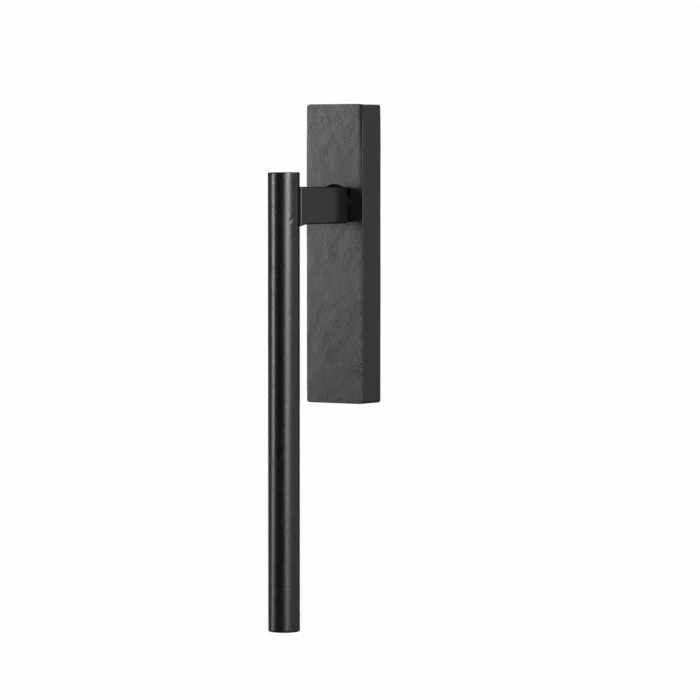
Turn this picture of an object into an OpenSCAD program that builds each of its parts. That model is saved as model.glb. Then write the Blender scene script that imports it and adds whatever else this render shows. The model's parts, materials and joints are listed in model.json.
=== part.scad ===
// Lever handle set for a lift-and-slide sash. A round grip bar hangs from a square neck, and the neck
// turns a square spindle through a deep, narrow backplate with hidden fixings.
// Frame: the spindle axis crosses the sash face at the origin, +Z is up, and the handle stands out
// towards -Y. "Depth" is the distance in front of the sash face, so depth = -y.

/* [Backplate] */
// Width of the backplate
plate_w = 41; // [38:0.5:46]
// Height of the backplate
plate_h = 180; // [176:1:200]
// Depth of the backplate, from the sash face to its front
plate_d = 19.5; // [19.5:0.5:24]
// Height of the backplate's top edge above the spindle axis
plate_top = 60; // [58:1:66]
// Radius of the softened outer edges of the backplate
plate_edge_r = 1; // [0.6:0.2:1.6]
// Thickness of the cover's side walls
side_wall = 2.4; // [2:0.1:2.6]
// Thickness of the cover's top and bottom walls, which hold the grub screws
end_wall = 4; // [3:0.5:5]
// Thickness of the cover's front wall
front_wall = 3; // [2.8:0.1:3.2]

/* [Grip bar] */
// Diameter of the grip bar
bar_d = 19; // [17.5:0.1:20]
// Length of the grip bar
bar_len = 272; // [220:1:300]
// Height of the bar's top end above the spindle axis
bar_top = 19.4; // [17:0.1:30]
// Distance from the sash face to the bar's axis
projection = 72.5; // [70:0.5:85]
// Radius of the softened rims at the bar's ends
bar_edge_r = 1; // [0.4:0.2:1.6]

/* [Neck] */
// Width of the neck
neck_w = 21.7; // [21:0.1:23]
// Height of the neck at the backplate
neck_root_h = 21.6; // [21:0.1:23]
// Height of the neck at the bar
neck_tip_h = 22.9; // [21:0.1:24]
// How far the neck's middle lies below the spindle axis
neck_drop = 0.5; // [0:0.1:0.5]
// How far behind the bar's axis the neck's front face ends
neck_setback = 2.4; // [1.5:0.1:4]
// Diameter of the journal that turns in the bushes
journal_d = 18; // [17:0.5:18]

/* [Spindle and fixings] */
// Width across the spindle's flats
spindle_af = 10; // [8:1:10]
// How far the spindle stands out behind the sash face
spindle_out = 20; // [10:1:90]
// Distance between the two fixing screws
fixing_pitch = 80; // [80:1:90]
// Thread diameter of the fixing screws
fixing_d = 6; // [5:1:6]
// How far the fixing screws stand out behind the sash face
fixing_out = 22.3; // [12:0.1:80]
// Diameter of the support lugs round the fixing screws
lug_d = 12; // [11:1:14]
// Length of the support lugs behind the sash face
lug_len = 6; // [3:1:10]

/* [Hidden] */

$fn = 96;
edge_fn = 32;     // facets of small rounded edges
slip = 0.02;      // gap between pieces that are pressed or screwed together
running = 0.05;   // radial clearance of the journal in its bushes
over = 1;         // how far a cutting shape overshoots a face

// Cover and base plate
cover_in_w = plate_w - 2 * side_wall;
cover_in_top = plate_top - end_wall;
cover_in_h = plate_h - 2 * end_wall;
front_in = plate_d - front_wall;       // depth of the front wall's inner face
base_gap = 0.2;                        // gap between the base plate and the cover's walls
base_w = cover_in_w - 2 * base_gap;
base_h = cover_in_h - 2 * base_gap;
base_top = cover_in_top - base_gap;
base_d = 8;
boss_r = 15.5;
boss_d = 12.6;                         // depth of the boss's front face
pocket_w = 26;                         // detent pocket, open at the back
pocket_h = 34;
pocket_d = 6.5;
cell_w = 24;                           // lightening cells cast into the back of the base plate
cell_h = 16;
cell_d = 5;
cell_r = 2;
cell_pitch = 20;
cell_top = -52;
cell_count = 3;

// Journal, neck and bar
journal_r = journal_d / 2;
journal_end = 6;                       // depth of the journal's inner end
bush_r = 10.3;                         // hole in the cover for the front bush
recess_r = 12;                         // the hole widens to this radius at the cover's front
recess_d = 1.2;
neck_gap = 0.8;                        // gap between the cover and the neck's square root
rear_bush_r = 11;
neck_root = plate_d + neck_gap;
neck_tip = projection - neck_setback;
neck_edge_r = 0.8;
bar_r = bar_d / 2;
bar_back = projection - bar_r;

// Spindle, and the screw that holds the bar
socket_af = spindle_af + 0.1;          // square hole for the spindle
socket_end = 42;
head_h = 6;
head_r = 4.9;
m6_r = 3;
m6_clear_r = 3.3;
neck_screw_end = 71;
pin_r = 1.5;
pin_pitch = 14.4;
pin_back = 58;
pin_front = 69;
grub_depth = 30;                       // depth of the spindle's grub screw
grub_h = 6.1;

// Detent: a cam on the spindle, two leaf springs and their keeper
cam_af = 15.2;                         // across the cam's four flats
cam_r = 9;                             // the cam's corners are turned to this radius
cam_back = 2.2;
cam_front = 5.4;
leaf_t = 0.8;
leaf_len = 41;
leaf_slot_len = 42;
leaf_back = 2.4;
leaf_front = 5.4;
leaf_x = cam_af / 2 + leaf_t / 2 + slip;
keeper_w = 30;
keeper_h = 54;
keeper_corner = 2;
keeper_back = 0.4;                     // the keeper sits a little below the base plate's back face
keeper_front = 1.9;
keeper_hole_r = 8;
keeper_pitch = 46;
m3_r = 1.5;
m3_head_r = 2.8;
m3_len = 5.4;

// Retaining stack behind the cover's front wall, counted back from the wall
stack_gap = 0.05;
disc_h = 0.95;                         // free height of the disc spring
disc_t = 0.5;
disc_r = 12.8;
washer_t = 0.8;
washer_r = 13;
clip_t = 1.1;
clip_r = 11.4;
groove_r = 8.5;
groove_w = 1.2;
washer_front = front_in - disc_h - 2 * stack_gap;
clip_front = washer_front - washer_t - stack_gap;

// Cover grub screws
m4_r = 2;
tip_r = 1.3;
tip_len = 1.6;
grub_sink = 0.4;                       // how far their heads lie inside the cover's end faces
cover_grub_depth = 4.5;

// Fixing screws
fixing_head_r = 1.93 * fixing_d / 2;
fixing_sink = 2.8;                     // height of the countersunk head's cone
fixing_seat = 7.7;                     // depth of the heads' flat tops
fixing_shank_r = 0.45 * fixing_d;      // plain shank between the head and the thread
fixing_slack = 0.3;                    // radial play of the fixing screws in their holes
seat_gap = 0.1;                        // gap round their heads

// Extrudes a front-view outline from one depth to another.
module slab(from, to) {
    translate([0, -from, 0]) rotate([90, 0, 0]) linear_extrude(to - from) children();
}

// A round rod along the depth direction, from one depth to another. r2 is the radius at the far end.
module rod(r, from, to, x = 0, z = 0, r2 = undef) {
    translate([x, -from, z]) rotate([90, 0, 0])
        cylinder(h = to - from, r1 = r, r2 = is_undef(r2) ? r : r2);
}

// A rectangle of the given width and height, its top edge at top, with round corners.
module round_rect(w, h, top, r) {
    for (sx = [-1, 1], y = [top - h + r, top - r])
        translate([sx * (w / 2 - r), y]) circle(r, $fn = edge_fn);
    translate([-w / 2 + r, top - h]) square([w - 2 * r, h]);
    translate([-w / 2, top - h + r]) square([w, h - 2 * r]);
}

// The fixing screws' places, above and below the spindle.
module at_fixings() {
    for (s = [-1, 1]) translate([0, 0, s * fixing_pitch / 2]) children();
}

// The places of the keeper's two small screws.
module at_keeper_screws() {
    for (s = [-1, 1]) translate([0, 0, s * keeper_pitch / 2]) children();
}

// A hexagon socket cut along the depth direction.
module hex_socket(af, from, to) {
    slab(from, to) circle(af / 2 / cos(30), $fn = 6);
}

// Outer form of the cover: three crossed outlines give it soft edges on every side.
module cover_outer() {
    long = plate_h + 2 * over;
    wide = plate_w + 2 * over;
    intersection() {
        slab(0, plate_d) round_rect(plate_w, plate_h, plate_top, plate_edge_r);
        translate([0, 0, plate_top - plate_h - over]) linear_extrude(long)
            mirror([0, 1]) round_rect(plate_w, 2 * plate_d, plate_d, plate_edge_r);
        translate([-wide / 2, 0, 0]) rotate([90, 0, 90]) linear_extrude(wide)
            translate([0, plate_top - plate_h / 2]) rotate(90)
                round_rect(plate_h, 2 * plate_d, plate_d, plate_edge_r);
    }
}

module escutcheon_cover() {
    color("#2b2b2c") difference() {
        cover_outer();
        slab(-over, front_in) translate([-cover_in_w / 2, cover_in_top - cover_in_h])
            square([cover_in_w, cover_in_h]);
        rod(bush_r, front_in - over, plate_d + over);
        rod(bush_r, plate_d - recess_d, plate_d, r2 = recess_r);
        for (z = [plate_top - plate_h - over, cover_in_top - over])
            translate([0, -cover_grub_depth, z]) cylinder(h = end_wall + 2 * over, r = m4_r);
    }
}

// Detent pocket outline, with the narrow slots that hold the ends of the leaf springs.
module pocket_outline() {
    square([pocket_w, pocket_h], center = true);
    for (s = [-1, 1]) translate([s * leaf_x, 0])
        square([leaf_t + base_gap, leaf_slot_len], center = true);
}

module base_plate() {
    hole_r = fixing_d / 2 + fixing_slack;
    head_hole_r = fixing_head_r + seat_gap;
    recess = base_gap;                 // play of the keeper in its recess
    dimple = tip_len - base_gap + slip;
    color("#9a9c9f") difference() {
        union() {
            slab(0, base_d) round_rect(base_w, base_h, base_top, 1);
            rod(boss_r, base_d - over, boss_d);
            at_fixings() rod(lug_d / 2, -lug_len, over);
        }
        rod(rear_bush_r, -over, boss_d + over);
        slab(-over, pocket_d) pocket_outline();
        slab(-over, keeper_front) round_rect(
            keeper_w + 2 * recess, keeper_h + 2 * recess, keeper_h / 2 + recess, keeper_corner + recess);
        at_keeper_screws() rod(m3_r, 0, m3_len + over);
        at_fixings() {
            rod(hole_r, -lug_len - over, base_d + over);
            rod(fixing_shank_r + seat_gap, fixing_seat - fixing_sink, fixing_seat, r2 = head_hole_r);
            rod(head_hole_r, fixing_seat, base_d + over);
        }
        for (i = [0 : cell_count - 1])
            slab(-over, cell_d) round_rect(cell_w, cell_h, cell_top - i * cell_pitch, cell_r);
        for (z = [base_top - base_h - over, base_top - dimple])
            translate([0, -cover_grub_depth, z]) cylinder(h = dimple + over, r = tip_r + 0.1);
    }
}

module front_bush() {
    color("#141414") difference() {
        rod(bush_r - slip, front_in, plate_d - recess_d);
        rod(journal_r + running, front_in - over, plate_d + over);
    }
}

module rear_bush() {
    color("#d8d4c4") difference() {
        rod(rear_bush_r - slip, pocket_d, boss_d);
        rod(journal_r + running, pocket_d - over, boss_d + over);
    }
}

module detent_springs() {
    color("#6f7883") for (s = [-1, 1]) translate([s * leaf_x, 0, 0])
        slab(leaf_back, leaf_front) square([leaf_t, leaf_len], center = true);
}

module keeper_plate() {
    sink_r = m3_head_r + 0.1;
    hole_r = m3_r + 0.1;
    color("#b4b6b8") difference() {
        slab(keeper_back, keeper_front - slip) round_rect(keeper_w, keeper_h, keeper_h / 2, keeper_corner);
        rod(keeper_hole_r, 0, keeper_front + over);
        at_keeper_screws() {
            rod(sink_r, keeper_back, keeper_back + sink_r - hole_r, r2 = hole_r);
            rod(hole_r, 0, keeper_front + over);
        }
    }
}

module keeper_screws() {
    color("#c2c4c6") at_keeper_screws() difference() {
        union() {
            rod(m3_head_r, keeper_back, keeper_back + m3_head_r - m3_r, r2 = m3_r);
            rod(m3_r - slip, keeper_back, m3_len);
        }
        hex_socket(2, 0, keeper_back + 1);
    }
}

module fixing_screws() {
    bevel = 0.1 * fixing_d;
    color("#a9abae") at_fixings() difference() {
        union() {
            rod(fixing_shank_r, fixing_seat - fixing_sink, fixing_seat, r2 = fixing_head_r);
            rod(fixing_shank_r, -lug_len - over, fixing_seat - fixing_sink + 0.1);
            rod(fixing_d / 2, -fixing_out + bevel, -lug_len);
            rod(fixing_d / 2 - bevel, -fixing_out, -fixing_out + bevel, r2 = fixing_d / 2);
        }
        hex_socket(4, fixing_seat - 2.4, fixing_seat + over);
    }
}

// A grub screw that stands on z = 0 with its socket down. tip adds a thinner point above the thread.
module grub_screw(r, h, socket, tip = 0) {
    difference() {
        union() {
            cylinder(h = h, r = r - slip);
            if (tip > 0) cylinder(h = h + tip, r = tip_r);
        }
        translate([0, 0, -over]) cylinder(h = over + 0.4 * h, r = socket / 2 / cos(30), $fn = 6);
    }
}

module cover_grub_screws() {
    h = end_wall - grub_sink;
    color("#1c1c1d") {
        translate([0, -cover_grub_depth, plate_top - plate_h + grub_sink])
            grub_screw(m4_r, h, socket = 2, tip = tip_len);
        translate([0, -cover_grub_depth, plate_top - grub_sink]) mirror([0, 0, 1])
            grub_screw(m4_r, h, socket = 2, tip = tip_len);
    }
}

module spring_washer() {
    in_r = journal_r + 0.3;
    back = front_in - stack_gap - disc_h;
    color("#7d8794") translate([0, -back, 0]) rotate([90, 0, 0]) rotate_extrude()
        polygon([
            [in_r, 0], [disc_r, disc_h - disc_t], [disc_r, disc_h], [in_r, disc_t]
        ]);
}

// Side outline of the neck: it grows a little in height towards the bar.
module neck_side() {
    mid = -neck_drop;
    polygon([
        [neck_root, mid - neck_root_h / 2], [neck_tip, mid - neck_tip_h / 2],
        [neck_tip, mid + neck_tip_h / 2], [neck_root, mid + neck_root_h / 2]
    ]);
}

// Plan outline of the neck, with softened front edges.
module neck_plan() {
    r = neck_edge_r;
    translate([-neck_w / 2, neck_root]) square([neck_w, neck_tip - neck_root - r]);
    translate([-neck_w / 2 + r, neck_root]) square([neck_w - 2 * r, neck_tip - neck_root]);
    for (s = [-1, 1]) translate([s * (neck_w / 2 - r), neck_tip - r]) circle(r, $fn = edge_fn);
}

module neck_block() {
    tall = neck_tip_h + 4;
    intersection() {
        translate([neck_w / 2 + over, 0, 0]) rotate([0, 0, 180]) rotate([90, 0, 90])
            linear_extrude(neck_w + 2 * over) neck_side();
        translate([0, 0, -neck_drop - tall / 2]) linear_extrude(tall) mirror([0, 1]) neck_plan();
    }
}

module neck() {
    color("#2a2a2b") difference() {
        union() {
            neck_block();
            rod(journal_r, journal_end, neck_root + over);
        }
        translate([0, -projection, -neck_drop - neck_tip_h]) cylinder(h = 2 * neck_tip_h, r = bar_r + slip);
        slab(journal_end - over, socket_end) square(socket_af, center = true);
        rod(m6_clear_r, socket_end - over, projection);
        for (s = [-1, 1])
            rod(pin_r + slip, pin_back, projection, z = -neck_drop + s * pin_pitch / 2);
        difference() {
            rod(journal_r + over, clip_front - groove_w, clip_front);
            rod(groove_r, clip_front - groove_w - over, clip_front + over);
        }
        translate([0, -grub_depth, -neck_root_h]) cylinder(h = neck_root_h, r = m6_r);
    }
}

// Half outline of the grip bar, with soft rims at both ends.
module bar_profile() {
    e = bar_edge_r;
    square([bar_r - e, bar_len]);
    translate([0, e]) square([bar_r, bar_len - 2 * e]);
    for (y = [e, bar_len - e]) translate([bar_r - e, y]) circle(e, $fn = edge_fn);
}

module grip_bar() {
    color("#262627") difference() {
        translate([0, -projection, bar_top - bar_len]) rotate_extrude() bar_profile();
        rod(m6_r, bar_back - over, neck_screw_end + 0.5);
        for (s = [-1, 1])
            rod(pin_r + slip, bar_back - over, pin_front + 0.2, z = -neck_drop + s * pin_pitch / 2);
    }
}

module neck_screw() {
    color("#8f9194") difference() {
        union() {
            rod(head_r, socket_end - head_h, socket_end - slip);
            rod(m6_r - slip, socket_end - head_h, neck_screw_end);
        }
        hex_socket(5, socket_end - head_h - over, socket_end - head_h + 3.5);
    }
}

module locating_pins() {
    color("#a5a7aa") for (s = [-1, 1])
        rod(pin_r, pin_back + 0.1, pin_front, z = -neck_drop + s * pin_pitch / 2);
}

// Square bar with slightly relieved corners and a bevelled tip.
module spindle() {
    corner_r = 0.69 * spindle_af;
    tip = 0.1 * spindle_af;
    front = socket_end - head_h - 0.6;
    color("#8b8d90") intersection() {
        slab(-spindle_out, front) square(spindle_af, center = true);
        union() {
            rod(corner_r, -spindle_out + tip, front);
            rod(spindle_af / 2, -spindle_out, -spindle_out + tip, r2 = corner_r);
        }
    }
}

module spindle_grub_screw() {
    color("#1c1c1d") translate([0, -grub_depth, -spindle_af / 2 - slip - grub_h])
        grub_screw(m6_r, grub_h, socket = 3);
}

// Square cam on the spindle. Its hub turns in the keeper plate's hole.
module detent_cam() {
    color("#77797c") difference() {
        union() {
            rod(keeper_hole_r - running, keeper_back, cam_back + 0.1);
            intersection() {
                rod(cam_r, cam_back, cam_front);
                slab(cam_back, cam_front) square(cam_af, center = true);
            }
        }
        slab(0, cam_front + over) square(socket_af, center = true);
    }
}

module retaining_washer() {
    color("#b9bbbd") difference() {
        rod(washer_r, washer_front - washer_t, washer_front);
        rod(journal_r + 0.2, washer_front - washer_t - over, washer_front + over);
    }
}

module circlip() {
    ear_x = 2.6;
    ear_z = 10.6;
    ear_r = 1.7;
    back = clip_front - clip_t;
    color("#3a3c3f") difference() {
        union() {
            rod(clip_r, back, clip_front - slip);
            for (s = [-1, 1]) rod(ear_r, back, clip_front - slip, x = s * ear_x, z = ear_z);
        }
        rod(groove_r + slip, back - over, clip_front + over);
        slab(back - over, clip_front + over) translate([-1, 0]) square([2, ear_z + 2 * ear_r]);
        for (s = [-1, 1]) rod(0.7, back - over, clip_front + over, x = s * ear_x, z = ear_z);
    }
}

escutcheon_cover();
base_plate();
front_bush();
rear_bush();
detent_springs();
keeper_plate();
keeper_screws();
fixing_screws();
cover_grub_screws();
spring_washer();
neck();
grip_bar();
neck_screw();
locating_pins();
spindle();
spindle_grub_screw();
detent_cam();
retaining_washer();
circlip();
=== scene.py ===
"""Studio scene of a lift-and-slide sash lever handle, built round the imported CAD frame.

Lengths are in metres. The handle's front faces -Y, +Z is up, and the origin lies on the spindle's axis
at the sash face.
"""
import json
import math

import bmesh
import bpy
import numpy as np
from mathutils import Euler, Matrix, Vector, noise


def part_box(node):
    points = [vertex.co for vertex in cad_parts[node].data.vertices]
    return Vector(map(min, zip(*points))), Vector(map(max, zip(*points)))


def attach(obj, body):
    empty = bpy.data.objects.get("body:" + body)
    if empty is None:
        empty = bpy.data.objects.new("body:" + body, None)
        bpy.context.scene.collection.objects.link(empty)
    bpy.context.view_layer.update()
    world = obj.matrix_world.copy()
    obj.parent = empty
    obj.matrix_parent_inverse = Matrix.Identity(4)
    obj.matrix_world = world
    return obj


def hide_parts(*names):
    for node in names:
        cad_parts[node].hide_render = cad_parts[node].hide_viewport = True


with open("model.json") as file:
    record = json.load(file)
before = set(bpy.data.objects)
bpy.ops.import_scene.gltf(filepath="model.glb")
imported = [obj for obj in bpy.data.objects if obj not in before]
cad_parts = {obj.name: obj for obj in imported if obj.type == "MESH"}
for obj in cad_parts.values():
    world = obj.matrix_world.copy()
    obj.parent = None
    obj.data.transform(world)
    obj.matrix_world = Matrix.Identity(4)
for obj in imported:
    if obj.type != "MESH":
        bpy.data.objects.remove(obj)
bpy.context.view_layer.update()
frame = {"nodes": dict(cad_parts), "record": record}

MM = 0.001
NODES = frame["nodes"]
BODY_OF = {node: body for body, nodes in frame["record"]["behaviour"]["bodies"].items() for node in nodes}
NOISE_TURN = Euler((0.6, 0.5, 0.4))     # turns every noise, so that no flat face lies along its grid
SECOND_TURN = Euler((-0.5, 0.7, 1.1))   # turns a second noise, which evens out the first one's patches

# ---------------------------------------------------------------- measures taken from the frame

cover_lo, cover_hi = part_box("escutcheon_cover")
base_lo, base_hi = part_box("base_plate")
bush_lo, bush_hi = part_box("front_bush")
neck_lo, neck_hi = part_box("neck")
bar_lo, bar_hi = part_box("grip_bar")
spindle_lo, spindle_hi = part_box("spindle")
pins_lo, pins_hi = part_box("locating_pins")
neck_screw_lo, neck_screw_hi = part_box("neck_screw")
grub_lo, grub_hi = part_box("cover_grub_screws")
neck_grub_lo, neck_grub_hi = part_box("spindle_grub_screw")
clip_lo, clip_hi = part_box("circlip")
fixing_lo, fixing_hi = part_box("fixing_screws")

bar_axis_y = (bar_lo.y + bar_hi.y) / 2
bar_radius = (bar_hi.x - bar_lo.x) / 2
neck_mid_z = (neck_lo.z + neck_hi.z) / 2
bush_r = (bush_hi.x - bush_lo.x) / 2

fixing_z = (fixing_lo.z + (fixing_hi.x - fixing_lo.x) / 2, fixing_hi.z - (fixing_hi.x - fixing_lo.x) / 2)

COVER_GRID = 0.6 * MM         # spacing of the cover's grid of faces
COVER_EDGE = 0.45 * MM        # rounding of the cover's long edges
COVER_CORNER = 1.9 * MM       # rounding of its four corners, seen from the front
COVER_PLAY = 0.2 * MM         # gap between the cover and the base plate inside it
RECESS_R = 12 * MM            # the cover's centre hole widens to this at the front
NECK_GAP = 0.8 * MM           # gap between the cover and the neck's root
NECK_GRID = 0.75 * MM
NECK_EDGE = 1.1 * MM
NECK_ROOT_TO_TIP = 21.6 / 22.9   # height at the plate over height at the bar
FLARE = 1.2 * MM              # how far the neck's underside spreads down along the bar
FLARE_LENGTH = 8.7 * MM
JOURNAL_R = 9 * MM
JOURNAL_CHAMFER = 0.4 * MM
GROOVE_R = 8.5 * MM
NECK_SCREW_HOLE_R = 3.3 * MM
BAR_GRID = 0.55 * MM
BAR_EDGE = 1.0 * MM
BAR_SCREW_HOLE_R = 3 * MM
PLAY = 0.02 * MM              # radial gap of a press fit
CREASE = 38                   # degrees: edges sharper than this stay crisp on the cast pieces
OUTWARD_EDGE = 40             # degrees: refine() breaks edges sharper than this
LONGEST_EDGE = 3.3 * MM       # longest edge in the finer copies of CAD nodes
BROKEN_EDGES = {              # the nodes that get a finer copy, and how far their edges are broken
    "base_plate": 0.2 * MM,
    "spindle": 0.3 * MM,
    "keeper_plate": 0.1 * MM,
    "detent_cam": 0.2 * MM,
}

neck_root_y = cover_lo.y - NECK_GAP
pin_r = (pins_hi.x - pins_lo.x) / 2 + PLAY
pin_z = (pins_lo.z + pin_r, pins_hi.z - pin_r)


# ---------------------------------------------------------------- mesh helpers

def add_object(name, verts, faces):
    mesh = bpy.data.meshes.new(name)
    mesh.from_pydata([tuple(v) for v in verts], [], faces)
    mesh.update()
    obj = bpy.data.objects.new(name, mesh)
    bpy.context.scene.collection.objects.link(obj)
    return obj


def shade(obj, angle_deg):
    """Smooth shading, with edges sharper than the angle left crisp."""
    obj.data.shade_smooth()
    obj.data.set_sharp_from_angle(angle=math.radians(angle_deg))


def edge_lines(lo, hi, radius, spacing, round_hi=True):
    """Grid lines from lo to hi: close together over the rounded ends, evenly spaced between them."""
    arc = [radius * (1 - math.tan(math.radians(a))) for a in (45, 33, 22, 11, 0)]
    start = [lo + a for a in arc]
    end = [hi - a for a in reversed(arc)] if round_hi else [hi]
    count = max(2, round((end[0] - start[-1]) / spacing))
    middle = list(np.linspace(start[-1], end[0], count + 1)[1:-1])
    return start + middle + end


def rounded_block(name, lo, hi, radius, spacing, flat_back, corner=0):
    """A closed block of small quads with rounded edges. Returns the object and each vertex's outward normal.

    With flat_back its face towards +Y keeps a sharp rim, because it lies against something. corner rounds
    the four corners of its front view more than the other edges.
    """
    lines = [
        edge_lines(lo.x, hi.x, radius, spacing),
        edge_lines(lo.y, hi.y, radius, spacing, round_hi=not flat_back),
        edge_lines(lo.z, hi.z, radius, spacing),
    ]
    last = [len(one) - 1 for one in lines]
    index = {}
    verts, normals, faces = [], [], []
    core_lo = lo + Vector((radius,) * 3)
    core_hi = hi - Vector((radius,) * 3)
    if flat_back:
        core_hi.y = hi.y

    def vertex(i, j, k):
        key = (i, j, k)
        if key not in index:
            p = Vector((lines[0][i], lines[1][j], lines[2][k]))
            q = Vector(min(max(p[n], core_lo[n]), core_hi[n]) for n in range(3))
            out = p - q
            index[key] = len(verts)
            if out.length < 1e-9:
                verts.append(p)
                normals.append(Vector((0, 1, 0)))
            else:
                out.normalize()
                verts.append(q + out * radius)
                normals.append(out)
            if corner:
                round_corner(verts[-1], normals[-1])
        return index[key]

    def round_corner(p, normal):
        """Moves a vertex of the square corner onto the round one, and turns its normal to match."""
        sides = [1 if p[n] > (lo[n] + hi[n]) / 2 else -1 for n in (0, 2)]
        centre = [hi[n] - corner if side > 0 else lo[n] + corner for n, side in zip((0, 2), sides)]
        a = (p.x - centre[0]) * sides[0]
        b = (p.z - centre[1]) * sides[1]
        if a <= 0 or b <= 0:
            return
        shrink = max(a, b) / math.hypot(a, b)
        p.x = centre[0] + sides[0] * a * shrink
        p.z = centre[1] + sides[1] * b * shrink
        flat = math.sqrt(max(0, 1 - normal.y ** 2)) / math.hypot(a, b)
        normal.x = sides[0] * a * flat
        normal.z = sides[1] * b * flat

    for axis in range(3):
        a, b = (axis + 1) % 3, (axis + 2) % 3
        for side in (0, last[axis]):
            for u in range(last[a]):
                for v in range(last[b]):
                    loop = []
                    for du, dv in ((0, 0), (1, 0), (1, 1), (0, 1)):
                        at = [0, 0, 0]
                        at[axis], at[a], at[b] = side, u + du, v + dv
                        loop.append(vertex(*at))
                    faces.append(loop if side else loop[::-1])
    return add_object(name, verts, faces), normals


def ring_faces(rings, segments, first=0):
    """Faces of a closed solid whose vertices are rings of segments, numbered from first."""
    faces = []
    for r in range(rings - 1):
        low = first + r * segments
        high = low + segments
        for s in range(segments):
            t = (s + 1) % segments
            faces.append([low + s, low + t, high + t, high + s])
    faces.append([first + s for s in reversed(range(segments))])
    top = first + (rings - 1) * segments
    faces.append([top + s for s in range(segments)])
    return faces


def lathe(name, profile, segments, origin, axis):
    """Turns (radius, height) points about axis ('Y' or 'Z') through origin into a closed solid."""
    verts = []
    for radius, height in profile:
        for s in range(segments):
            a = 2 * math.pi * s / segments
            x, y = radius * math.cos(a), radius * math.sin(a)
            offset = Vector((x, y, height)) if axis == "Z" else Vector((y, height, x))
            verts.append(origin + offset)
    return add_object(name, verts, ring_faces(len(profile), segments))


def combine(target, tools, operation):
    """Cuts the tool solids from the target, or joins them to it, and deletes the tools."""
    for tool in tools:
        modifier = target.modifiers.new("combine", "BOOLEAN")
        modifier.operation = operation
        modifier.solver = "EXACT"
        modifier.object = tool
    graph = bpy.context.evaluated_depsgraph_get()
    made = bpy.data.meshes.new_from_object(target.evaluated_get(graph), depsgraph=graph)
    target.modifiers.clear()
    target.data = made
    for tool in tools:
        bpy.data.objects.remove(tool)


def cutter_rod(radius, start, end, axis, segments=64):
    """A plain rod from start to end along the axis ('Y' or 'Z')."""
    length = end.y - start.y if axis == "Y" else end.z - start.z
    return lathe("cutter", [(radius, 0), (radius, length)], segments, start, axis)


def cutter_box(lo, hi):
    corners = [(x, y, z) for x in (lo.x, hi.x) for y in (lo.y, hi.y) for z in (lo.z, hi.z)]
    faces = [(0, 1, 3, 2), (4, 6, 7, 5), (0, 4, 5, 1), (2, 3, 7, 6), (0, 2, 6, 4), (1, 5, 7, 3)]
    return add_object("cutter", corners, faces)


def cast_skin(p, seed, stretch, grain=1.0):
    """How far a raw casting's skin lies below its nominal surface at p: never under zero.

    Slow waves bend the edges, hammered-looking bumps break up the faces, and a fine grain covers
    them. stretch is how much longer than wide the bumps are along Z, and grain how deep the finer two are.
    """
    at = Vector((p.x, p.y, p.z / stretch)) / MM + Vector((seed, 2.3 * seed, -1.7 * seed))
    at.rotate(NOISE_TURN)
    slow = noise.noise(at / 31)
    middle = noise.noise(at / 7.5 + Vector((5, 0, 0)))
    broad = noise.noise(at / 3.7 + Vector((0, 4, 0)))
    fine = noise.noise(at / 2.2 + Vector((0, 9, 0)))
    return (0.12 + 0.07 * slow + 0.035 * middle + grain * (0.012 * broad + 0.009 * fine)) * MM


def press_in(obj, normals, depth):
    """Moves each vertex inwards by depth(its place, its normal)."""
    for vertex, normal in zip(obj.data.vertices, normals):
        vertex.co -= normal * depth(vertex.co, normal)
    obj.data.update()


def refine(node_name, edge):
    """A finer copy of a CAD node, which it replaces: its sharp outward edges are broken by edge metres.

    The vertices there get a "wear" of 1. Long edges are then split, and a vertex in the middle of one
    takes the mean wear of its ends, so a face with broken edges all round is worn all over.
    """
    source = NODES[node_name].data
    name = node_name + "_finished"
    piece = add_object(name, [v.co for v in source.vertices], [list(f.vertices) for f in source.polygons])
    mesh = bmesh.new()
    mesh.from_mesh(piece.data)
    wear = mesh.verts.layers.float.new("wear")
    bmesh.ops.remove_doubles(mesh, verts=mesh.verts, dist=0.002 * MM)
    bmesh.ops.dissolve_limit(mesh, angle_limit=math.radians(0.5), verts=mesh.verts, edges=mesh.edges)
    limit = math.radians(OUTWARD_EDGE)
    sharp = [e for e in mesh.edges if e.is_manifold and e.calc_face_angle_signed() > limit]
    broken = bmesh.ops.bevel(
        mesh, geom=sharp, offset=edge, segments=2, profile=0.5, affect="EDGES", clamp_overlap=False
    )
    for vertex in broken["verts"]:
        vertex[wear] = 1
    for _ in range(6):
        bmesh.ops.triangulate(mesh, faces=mesh.faces)
        long_edges = [e for e in mesh.edges if e.calc_length() > LONGEST_EDGE]
        if not long_edges:
            break
        bmesh.ops.subdivide_edges(mesh, edges=long_edges, cuts=1)
    bmesh.ops.dissolve_degenerate(mesh, dist=0.0005 * MM, edges=mesh.edges)
    mesh.to_mesh(piece.data)
    mesh.free()
    shade(piece, 20)
    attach(piece, BODY_OF[node_name])
    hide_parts(node_name)
    return piece


# ---------------------------------------------------------------- material helpers

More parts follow.
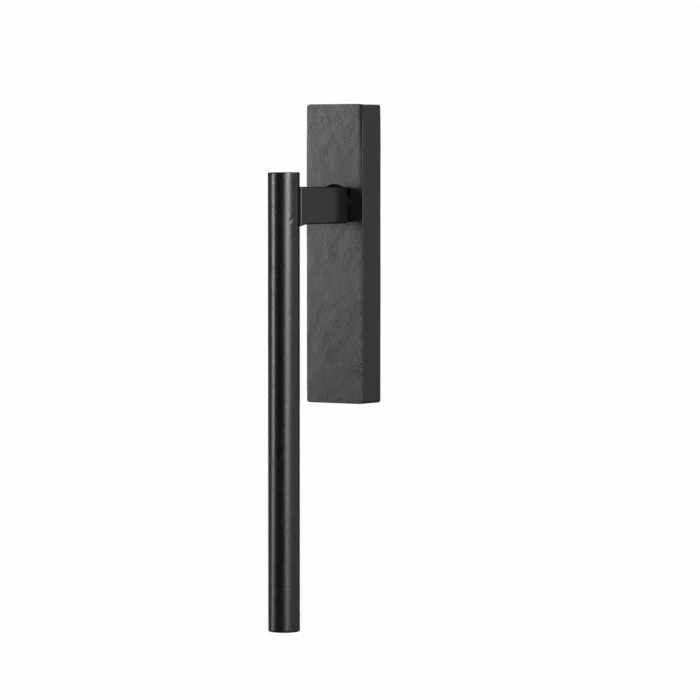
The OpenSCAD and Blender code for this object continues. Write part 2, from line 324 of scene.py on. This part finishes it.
class Surface:
    """A Principled material whose nodes are added by short calls."""

    def __init__(self, name):
        self.material = bpy.data.materials.new(name)
        self.material.use_nodes = True
        self.nodes = self.material.node_tree.nodes
        self.links = self.material.node_tree.links
        self.shader = self.nodes["Principled BSDF"]
        self.place = self.nodes.new("ShaderNodeTexCoord").outputs["Object"]

    def set(self, **values):
        for name, value in values.items():
            self.shader.inputs[name.replace("_", " ")].default_value = value

    def link(self, output, socket):
        self.links.new(output, self.shader.inputs[socket])

    def noise(self, size, detail=3.0, stretch=(1, 1, 1), turn=NOISE_TURN):
        """Noise with features about size metres across, longer where stretch is over 1."""
        mapping = self.nodes.new("ShaderNodeMapping")
        mapping.inputs["Scale"].default_value = [1 / (size * s) for s in stretch]
        mapping.inputs["Rotation"].default_value = turn
        self.links.new(self.place, mapping.inputs["Vector"])
        texture = self.nodes.new("ShaderNodeTexNoise")
        texture.inputs["Scale"].default_value = 1
        texture.inputs["Detail"].default_value = detail
        texture.inputs["Roughness"].default_value = 0.55
        self.links.new(mapping.outputs["Vector"], texture.inputs["Vector"])
        return texture.outputs["Fac"]

    def ramp(self, source, stops):
        """A colour ramp: stops are (position, colour)."""
        node = self.nodes.new("ShaderNodeValToRGB")
        elements = node.color_ramp.elements
        while len(elements) < len(stops):
            elements.new(0.5)
        for element, (position, colour) in zip(elements, stops):
            element.position = position
            element.color = (*colour, 1)
        self.links.new(source, node.inputs["Fac"])
        return node.outputs["Color"]

    def span(self, source, low, high, from_low=0.3, from_high=0.7):
        """Maps the source's usual range to low..high."""
        node = self.nodes.new("ShaderNodeMapRange")
        values = {"From Min": from_low, "From Max": from_high, "To Min": low, "To Max": high}
        for name, value in values.items():
            node.inputs[name].default_value = value
        self.links.new(source, node.inputs["Value"])
        return node.outputs["Result"]

    def mix(self, factor, first, second):
        """Colour mix; first and second are colours or outputs."""
        node = self.nodes.new("ShaderNodeMix")
        node.data_type = "RGBA"
        self.links.new(factor, node.inputs["Factor"])
        for slot_name, value in (("A", first), ("B", second)):
            socket = next(s for s in node.inputs if s.name == slot_name and s.type == "RGBA")
            if isinstance(value, bpy.types.NodeSocket):
                self.links.new(value, socket)
            else:
                socket.default_value = (*value, 1)
        return next(s for s in node.outputs if s.type == "RGBA")

    def add(self, first, second):
        node = self.nodes.new("ShaderNodeMath")
        node.operation = "ADD"
        self.links.new(first, node.inputs[0])
        self.links.new(second, node.inputs[1])
        return node.outputs["Value"]

    def bump(self, height, distance, after=None):
        """Bump of the given depth in metres. after is an earlier bump's normal."""
        node = self.nodes.new("ShaderNodeBump")
        node.inputs["Distance"].default_value = distance
        node.inputs["Strength"].default_value = 1
        self.links.new(height, node.inputs["Height"])
        if after is not None:
            self.links.new(after, node.inputs["Normal"])
        self.link(node.outputs["Normal"], "Normal")
        return node.outputs["Normal"]

    def wear(self):
        """The wear that refine() gave the vertices, from 0 to 1, with a ragged border where it fades."""
        painted = self.nodes.new("ShaderNodeAttribute")
        painted.attribute_name = "wear"
        node = self.nodes.new("ShaderNodeMath")
        node.operation = "POWER"
        self.links.new(painted.outputs["Fac"], node.inputs[0])
        node.inputs[1].default_value = 4
        ragged = self.add(node.outputs["Value"], self.noise(1.5 * MM, detail=3))
        return self.span(ragged, 0, 1, 1.0, 1.6)

    def edges(self, low, high):
        """0 on flats and 1 on outward edges, from the mesh's own curvature."""
        geometry = self.nodes.new("ShaderNodeNewGeometry")
        return self.span(geometry.outputs["Pointiness"], 0, 1, low, high)


def black_casting(name, grain, grain_depth, wave_depth, rough=(0.27, 0.35)):
    """Black semi-gloss coat over a raw casting: fine bumps about grain metres wide on broader waves.

    grain_depth and wave_depth are their heights in metres, and rough is the roughness from low to high.
    """
    s = Surface(name)
    s.set(Metallic=0.0, IOR=1.5)
    patches = s.noise(14 * MM, detail=4)
    colour = s.ramp(patches, [(0.3, (0.0016, 0.0016, 0.0017)), (0.7, (0.0032, 0.0031, 0.0031))])
    # Outward edges get a lighter base colour: partly edge wear, partly a painted highlight along the edges.
    wear = s.edges(0.53, 0.62)
    s.link(s.mix(wear, colour, (0.012, 0.0115, 0.011)), "Base Color")
    fine = s.add(s.noise(grain, detail=1.5), s.noise(0.85 * grain, detail=1.5, turn=SECOND_TURN))
    s.link(s.span(s.add(patches, fine), rough[0], rough[1], 1.1, 1.9), "Roughness")
    waves = s.bump(s.noise(3.2 * grain, detail=2), wave_depth)
    s.bump(fine, grain_depth, after=waves)
    return s.material


def black_plastic(name):
    s = Surface(name)
    s.set(IOR=1.48)
    speck = s.noise(1.2 * MM, detail=5)
    s.link(s.ramp(speck, [(0.35, (0.006, 0.006, 0.006)), (0.7, (0.010, 0.010, 0.0105))]), "Base Color")
    s.link(s.span(speck, 0.42, 0.58), "Roughness")
    s.bump(s.noise(0.5 * MM, detail=2), 0.006 * MM)
    return s.material


def white_plastic(name):
    s = Surface(name)
    s.set(IOR=1.48, Subsurface_Weight=0.1, Subsurface_Scale=0.5 * MM)
    speck = s.noise(4 * MM, detail=3)
    s.link(s.ramp(speck, [(0.3, (0.62, 0.6, 0.53)), (0.7, (0.72, 0.7, 0.64))]), "Base Color")
    s.link(s.span(speck, 0.35, 0.5), "Roughness")
    s.bump(s.noise(0.8 * MM), 0.008 * MM)
    return s.material


def zinc_casting(name):
    """Dull grey die casting: mottled, matt and slightly pitted, brighter where edges have rubbed."""
    s = Surface(name)
    s.set(Metallic=1.0)
    blotch = s.noise(9 * MM, detail=5)
    colour = s.ramp(blotch, [(0.3, (0.30, 0.305, 0.31)), (0.7, (0.43, 0.435, 0.44))])
    s.link(s.mix(s.wear(), colour, (0.62, 0.62, 0.61)), "Base Color")
    pits = s.noise(0.9 * MM, detail=4)
    s.link(s.span(pits, 0.42, 0.62), "Roughness")
    s.bump(pits, 0.03 * MM, after=s.bump(s.noise(6 * MM), 0.15 * MM))
    return s.material


def drawn_metal(name, dark, light, rough, along="Y", depth=0.006 * MM):
    """Metal with fine drawing or grinding lines along one axis."""
    s = Surface(name)
    s.set(Metallic=1.0)
    stretch = {"X": (40, 1, 1), "Y": (1, 40, 1), "Z": (1, 1, 40)}[along]
    lines = s.noise(0.25 * MM, detail=3, stretch=stretch)
    tone = s.noise(5 * MM, detail=4)
    colour = s.ramp(tone, [(0.3, dark), (0.7, light)])
    s.link(s.mix(s.wear(), colour, [min(1, 1.3 * c) for c in light]), "Base Color")
    s.link(s.span(s.add(lines, tone), rough[0], rough[1], 0.7, 1.3), "Roughness")
    s.bump(lines, depth)
    return s.material


def plated_steel(name):
    """Bright zinc plating: a faint blue and straw bloom over a silvery ground."""
    s = Surface(name)
    s.set(Metallic=1.0)
    bloom = s.noise(3.5 * MM, detail=4)
    blue, silver, straw = (0.60, 0.63, 0.70), (0.70, 0.71, 0.72), (0.72, 0.69, 0.61)
    colour = s.ramp(bloom, [(0.25, blue), (0.5, silver), (0.75, straw)])
    s.link(s.mix(s.wear(), colour, (0.80, 0.80, 0.79)), "Base Color")
    speck = s.noise(0.6 * MM, detail=4)
    s.link(s.span(speck, 0.30, 0.44), "Roughness")
    s.bump(speck, 0.006 * MM)
    return s.material


def dress(obj, material):
    """Puts one material on every slot of a piece, and gives a piece without slots one for it."""
    if not obj.material_slots:
        obj.data.materials.append(material)
    for place in obj.material_slots:
        place.material = material


# ---------------------------------------------------------------- pieces

def make_cover():
    """The backplate's cover: a soft-edged cast block, hollowed from behind, with its three holes."""
    cover, normals = rounded_block("cover", cover_lo, cover_hi, COVER_EDGE, COVER_GRID, True, COVER_CORNER)

    def depth(p, normal):
        """Cast skin, with the long sides bowed in near their ends and the front's right edge rubbed."""
        if normal.y > 0.5:
            return 0
        top = cover_hi.z - p.z
        bottom = p.z - cover_lo.z
        bowed = math.exp(-(top / (9.5 * MM)) ** 2)
        if p.x < 0:
            draft = 0.50 * bowed + 0.22 * math.exp(-min(top, bottom) / (9 * MM))
        else:
            draft = 0.12 * bowed + 0.22 * math.exp(-top / (9 * MM))
        draft *= abs(normal.x)
        to_edge = math.hypot(p.x - cover_hi.x, p.y - cover_lo.y)
        worn = 0.28 * math.exp(-(to_edge / (1.5 * MM)) ** 2 - (cover_hi.z - p.z) / (30 * MM))
        return cast_skin(p, 3.1, 1.0) + (draft + worn) * MM

    press_in(cover, normals, depth)
    gap = Vector((COVER_PLAY, 0, COVER_PLAY))
    inside_lo, inside_hi = base_lo - gap, base_hi + gap
    inside_lo.y, inside_hi.y = bush_hi.y, cover_hi.y + MM
    hole_y = (grub_lo.y + grub_hi.y) / 2
    hole_r = (grub_hi.x - grub_lo.x) / 2
    holes = [
        cutter_rod(hole_r, Vector((0, hole_y, z)), Vector((0, hole_y, z + 8 * MM)), "Z", 48)
        for z in (cover_lo.z - MM, cover_hi.z - 7 * MM)
    ]
    bush_profile = [
        (RECESS_R, cover_lo.y - MM),
        (RECESS_R, cover_lo.y),
        (bush_r, bush_lo.y),
        (bush_r, bush_hi.y + MM),
    ]
    bush_hole = lathe("bush_hole", bush_profile, 96, Vector((0, 0, 0)), "Y")
    combine(cover, [cutter_box(inside_lo, inside_hi), bush_hole, *holes], "DIFFERENCE")
    shade(cover, CREASE)
    dress(cover, black_casting("cover_casting", 1.6 * MM, 0.030 * MM, 0.015 * MM))
    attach(cover, "mount")
    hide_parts("escutcheon_cover")


def make_neck():
    """The square neck with its saddle, and behind it the journal with the circlip's groove."""
    lo = Vector((neck_lo.x, neck_lo.y, neck_lo.z))
    hi = Vector((neck_hi.x, neck_root_y, neck_hi.z))
    neck, normals = rounded_block("neck_casting", lo, hi, NECK_EDGE, NECK_GRID, flat_back=False)
    for vertex in neck.data.vertices:
        share = (vertex.co.y - lo.y) / (hi.y - lo.y)
        taper = 1 + (NECK_ROOT_TO_TIP - 1) * share
        vertex.co.z = neck_mid_z + (vertex.co.z - neck_mid_z) * taper
        below = max(0, (neck_mid_z - vertex.co.z) / (neck_mid_z - lo.z))
        near_bar = max(0, 1 - (vertex.co.y - lo.y) / FLARE_LENGTH)
        vertex.co.z -= FLARE * below ** 3 * near_bar ** 2.5
    press_in(neck, normals, lambda p, normal: cast_skin(p, 8.4, 1.5))
    behind = neck_hi.y
    into = neck_root_y - MM
    groove_back = clip_hi.y + 0.1 * MM
    groove_front = clip_lo.y - 0.02 * MM
    journal_profile = [
        (JOURNAL_R, into),
        (JOURNAL_R, groove_front),
        (GROOVE_R, groove_front),
        (GROOVE_R, groove_back),
        (JOURNAL_R, groove_back),
        (JOURNAL_R - JOURNAL_CHAMFER, behind),
    ]
    combine(neck, [lathe("journal", journal_profile, 96, Vector((0, 0, 0)), "Y")], "UNION")
    square = (spindle_hi.x - spindle_lo.x) / 2 + 0.05 * MM
    socket_end = neck_screw_hi.y - 6 * MM
    saddle_foot = Vector((0, bar_axis_y, neck_lo.z - MM))
    saddle_head = Vector((0, bar_axis_y, neck_hi.z + MM))
    grub_r = (neck_grub_hi.x - neck_grub_lo.x) / 2 + PLAY
    grub_y = (neck_grub_lo.y + neck_grub_hi.y) / 2
    tools = [
        cutter_rod(bar_radius + PLAY, saddle_foot, saddle_head, "Z", 128),
        cutter_box(Vector((-square, socket_end, -square)), Vector((square, behind + MM, square))),
        cutter_rod(NECK_SCREW_HOLE_R, Vector((0, bar_axis_y, 0)), Vector((0, socket_end + MM, 0)), "Y"),
        cutter_rod(grub_r, Vector((0, grub_y, neck_lo.z - MM)), Vector((0, grub_y, -square + MM)), "Z"),
    ]
    tools += [
        cutter_rod(pin_r, Vector((0, bar_axis_y, z)), Vector((0, pins_hi.y + 0.1 * MM, z)), "Y")
        for z in pin_z
    ]
    combine(neck, tools, "DIFFERENCE")
    shade(neck, CREASE)
    dress(neck, black_casting("neck_casting", 1.7 * MM, 0.037 * MM, 0.08 * MM))
    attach(neck, "handle")
    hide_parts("neck")


def make_bar():
    """The solid grip bar: soft rims, a barely uneven skin, and a small nick beside the neck."""
    flat_r = bar_radius - BAR_EDGE
    foot = [(r, bar_lo.z) for r in np.linspace(0.6 * MM, flat_r, 12)[:-1]]
    for a in np.radians(np.linspace(0, 90, 6)):
        foot.append((flat_r + BAR_EDGE * math.sin(a), bar_lo.z + BAR_EDGE - BAR_EDGE * math.cos(a)))
    head = [(r, bar_lo.z + bar_hi.z - z) for r, z in reversed(foot)]
    start = foot[-1][1]
    end = head[0][1]
    count = round((end - start) / BAR_GRID)
    body = [(bar_radius, z) for z in np.linspace(start, end, count + 1)[1:-1]]
    bar = lathe("bar", foot + body + head, 120, Vector((0, bar_axis_y, 0)), "Z")
    normals = [vertex.normal.copy() for vertex in bar.data.vertices]
    nick_a = math.radians(65)
    nick_out = Vector((math.sin(nick_a), -math.cos(nick_a), 0))
    nick_at = Vector((0, bar_axis_y, -8.4 * MM)) + bar_radius * nick_out
    nick_way = Vector((math.cos(nick_a), math.sin(nick_a), 1.15)).normalized()

    def depth(p, normal):
        """A shallow cast skin, and the nick: a short groove along nick_way."""
        away = p - nick_at
        along = away.dot(nick_way)
        across = (away - nick_way * along).length
        nick = 0.16 * MM * math.exp(-((along / (1.9 * MM)) ** 4) - (across / (0.6 * MM)) ** 2)
        return 0.35 * cast_skin(p, 14.2, 1.0, grain=2.0) + nick

    press_in(bar, normals, depth)
    screw_end = neck_screw_lo.y - 0.5 * MM
    back = bar_hi.y + MM
    tools = [cutter_rod(BAR_SCREW_HOLE_R, Vector((0, screw_end, 0)), Vector((0, back, 0)), "Y")]
    tools += [
        cutter_rod(pin_r, Vector((0, pins_lo.y - 0.2 * MM, z)), Vector((0, back, z)), "Y")
        for z in pin_z
    ]
    combine(bar, tools, "DIFFERENCE")
    shade(bar, CREASE)
    skin = black_casting("bar_casting", 1.2 * MM, 0.056 * MM, 0.02 * MM, rough=(0.27, 0.34))
    dress(bar, skin)
    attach(bar, "handle")
    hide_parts("grip_bar")


def make_fixing_screws(material):
    """The two M6 screws: a countersunk head with a hexagon socket, a plain shank and a cut thread."""
    segments, rings_per_turn = 48, 12
    pitch, thread_depth = 1.0 * MM, 0.61 * MM
    head_r = (fixing_hi.x - fixing_lo.x) / 2
    head_edge = 0.15 * MM
    major_r, shank_r, head_height = 3 * MM, 2.7 * MM, 2.8 * MM
    tip_chamfer = 0.6 * MM
    socket_r, socket_depth = 2.3 * MM, 2.4 * MM
    root_r = major_r - thread_depth
    start, end = base_hi.y, fixing_hi.y

    def thread_radius(angle, y):
        """The thread: flat crests and roots with slopes between, fading out at the shank and the tip."""
        turn = (y / pitch - angle / (2 * math.pi)) % 1
        rise = min(1, max(0, (1 - abs(2 * turn - 1) - 0.125) / 0.75))
        run_out = min(1, (y - start) / (0.7 * pitch))
        cut = root_r + (major_r - root_r) * rise
        return min(shank_r + (cut - shank_r) * run_out, major_r - tip_chamfer + end - y)

    rings = [(0.5 * MM, fixing_lo.y), (head_r - head_edge, fixing_lo.y), (head_r, fixing_lo.y + head_edge)]
    rings += [(shank_r, fixing_lo.y + head_height), (shank_r, start)]
    count = round((end - start) / pitch * rings_per_turn)
    rings += [(None, y) for y in np.linspace(start, end, count + 1)[1:]]
    verts, faces = [], []
    for z in fixing_z:
        faces += ring_faces(len(rings), segments, len(verts))
        for radius, y in rings:
            for s in range(segments):
                a = 2 * math.pi * s / segments
                r = thread_radius(a, y) if radius is None else radius
                verts.append((r * math.sin(a), y, z + r * math.cos(a)))
    screws = add_object("fixing_screws_threaded", verts, faces)
    socket_profile = [(socket_r, 0), (socket_r, MM + socket_depth)]
    sockets = [
        lathe("socket", socket_profile, 6, Vector((0, fixing_lo.y - MM, z)), "Y")
        for z in fixing_z
    ]
    combine(screws, sockets, "DIFFERENCE")
    shade(screws, CREASE)
    dress(screws, material)
    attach(screws, "mount")
    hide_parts("fixing_screws")


make_cover()
make_neck()
make_bar()

plating = plated_steel("zinc_plating")
BLACK_OXIDE = (0.02, 0.02, 0.022), (0.04, 0.04, 0.043), (0.35, 0.5), "Z"
finishes = {
    "base_plate": zinc_casting("zinc_casting"),
    "front_bush": black_plastic("black_acetal"),
    "rear_bush": white_plastic("natural_acetal"),
    "detent_springs": drawn_metal("blued_spring", (0.10, 0.12, 0.17), (0.2, 0.22, 0.27), (0.25, 0.4), "Z"),
    "keeper_plate": plating,
    "keeper_screws": plating,
    "neck_screw": plating,
    "retaining_washer": plating,
    "spring_washer": drawn_metal("spring_washer", (0.12, 0.13, 0.16), (0.22, 0.23, 0.26), (0.3, 0.45), "X"),
    "cover_grub_screws": drawn_metal("black_oxide", *BLACK_OXIDE),
    "spindle_grub_screw": drawn_metal("black_oxide_2", *BLACK_OXIDE),
    "circlip": drawn_metal("clip_steel", (0.03, 0.03, 0.035), (0.07, 0.07, 0.075), (0.3, 0.45), "X"),
    "locating_pins": drawn_metal("ground_pins", (0.45, 0.45, 0.46), (0.56, 0.56, 0.57), (0.2, 0.3), "X"),
    "detent_cam": drawn_metal("cam_steel", (0.3, 0.3, 0.31), (0.42, 0.42, 0.43), (0.3, 0.42), "Z"),
    "spindle": drawn_metal(
        "spindle_steel", (0.34, 0.34, 0.345), (0.46, 0.46, 0.465), (0.28, 0.42), "Y", 0.012 * MM
    ),
}
for node_name, finish in finishes.items():
    if node_name in BROKEN_EDGES:
        dress(refine(node_name, BROKEN_EDGES[node_name]), finish)
    else:
        dress(NODES[node_name], finish)
make_fixing_screws(plating)

# ---------------------------------------------------------------- light, floor and camera

VIEW_AZIMUTH = 34              # degrees to the right of straight on
VIEW_ELEVATION = 2.82          # degrees above level
VIEW_DISTANCE = 2.386
LENS_MM = 204.7
SENSOR_MM = 36
LIGHT_DISTANCE = 1.6
LIT_POINT = Vector((0, -0.045, -0.06))
BACKDROP = (0.99, 0.99, 0.99, 1)
SURROUND = (0.004, 0.004, 0.004, 1)
FLOOR_GREY = (0.12, 0.12, 0.12, 1)
FLOOR_HALF = 6.0
FLOOR_DROP = 0.30              # how far the floor lies below the bar's end
COOL = (0.96, 0.98, 1.0)
NEUTRAL = (1.0, 1.0, 1.0)
SOFTBOXES = [
    # name, azimuth, elevation, width, height, radiance, colour
    ("left_key", -46.8, 8, 0.36, 0.82, 14.2, (1.0, 0.99, 0.98)),
    ("left_low", -58, -18, 0.28, 0.55, 7.2, (1.0, 0.985, 0.96)),
    ("right_key", 68, 16, 0.68, 0.45, 35.0, COOL),
    ("right_low", 56, -2, 0.70, 0.60, 5.5, COOL),
    ("left_fill", -105, 0, 1.6, 2.2, 0.25, NEUTRAL),
    ("rear_fill", 110, 6, 2.8, 2.8, 0.66, NEUTRAL),
    ("rear_edge", 165, 0, 0.4, 1.8, 0.35, NEUTRAL),
    ("back_key", 212, 32, 1.0, 1.0, 5.0, NEUTRAL),
    ("back_low", 213, -12, 1.0, 0.8, 2.2, NEUTRAL),
]


def towards(azimuth_deg, elevation_deg):
    """Unit vector from the object: azimuth 0 is straight out from the plate, and 90 is to its right."""
    a, e = math.radians(azimuth_deg), math.radians(elevation_deg)
    return Vector((math.sin(a) * math.cos(e), -math.cos(a) * math.cos(e), math.sin(e)))


def face_back(obj, target, out, distance):
    """Puts a light or camera at distance from target in the direction out, looking at target."""
    obj.location = target + out * distance
    obj.rotation_mode = "QUATERNION"
    obj.rotation_quaternion = out.to_track_quat("Z", "Y")
    bpy.context.scene.collection.objects.link(obj)


def softbox(name, azimuth, elevation, width, height, radiance, colour):
    """A rectangular light that faces the handle. radiance is its surface's brightness."""
    data = bpy.data.lights.new(name, "AREA")
    data.shape = "RECTANGLE"
    data.size, data.size_y = width, height
    data.color = colour
    data.energy = radiance * math.pi * width * height
    light = bpy.data.objects.new(name, data)
    light.visible_camera = False
    face_back(light, LIT_POINT, towards(azimuth, elevation), LIGHT_DISTANCE)


def camera_switch(tree, surface, seen, output):
    """Shows the camera the shader seen, and everything else the shader surface."""
    switch = tree.nodes.new("ShaderNodeMixShader")
    tree.links.new(tree.nodes.new("ShaderNodeLightPath").outputs["Is Camera Ray"], switch.inputs["Fac"])
    tree.links.new(surface, switch.inputs[1])
    tree.links.new(seen, switch.inputs[2])
    tree.links.new(switch.outputs["Shader"], tree.nodes[output].inputs["Surface"])


def make_world():
    """White to the camera, and a dim surround to everything else."""
    world = bpy.data.worlds.new("studio")
    bpy.context.scene.world = world
    world.use_nodes = True
    tree = world.node_tree
    surround = tree.nodes["Background"]
    surround.inputs["Color"].default_value = SURROUND
    backdrop = tree.nodes.new("ShaderNodeBackground")
    backdrop.inputs["Color"].default_value = BACKDROP
    camera_switch(tree, surround.outputs["Background"], backdrop.outputs["Background"], "World Output")


def make_floor():
    """A plain floor well below the handle: white to the camera, and dark grey in reflections."""
    size, level = FLOOR_HALF, bar_lo.z - FLOOR_DROP
    corners = [(-size, -size, level), (size, -size, level), (size, size, level), (-size, size, level)]
    floor = add_object("floor", corners, [(0, 1, 2, 3)])
    material = bpy.data.materials.new("white_floor")
    material.use_nodes = True
    tree = material.node_tree
    grey = tree.nodes["Principled BSDF"]
    grey.inputs["Base Color"].default_value = FLOOR_GREY
    grey.inputs["Roughness"].default_value = 0.9
    glow = tree.nodes.new("ShaderNodeEmission")
    glow.inputs["Color"].default_value = BACKDROP
    camera_switch(tree, grey.outputs["BSDF"], glow.outputs["Emission"], "Material Output")
    floor.data.materials.append(material)


def make_camera():
    """The photo's view, with the handle a little left of the middle."""
    data = bpy.data.cameras.new("camera")
    data.lens = LENS_MM
    data.sensor_width = SENSOR_MM
    camera = bpy.data.objects.new("camera", data)
    right = Vector((math.cos(math.radians(VIEW_AZIMUTH)), math.sin(math.radians(VIEW_AZIMUTH)), 0))
    aim = right * 0.01527 + Vector((0, -0.030, -0.0874))
    face_back(camera, aim, towards(VIEW_AZIMUTH, VIEW_ELEVATION), VIEW_DISTANCE)
    bpy.context.scene.camera = camera


make_world()
make_floor()
for box in SOFTBOXES:
    softbox(*box)
make_camera()
bpy.context.scene.view_settings.view_transform = "Standard"
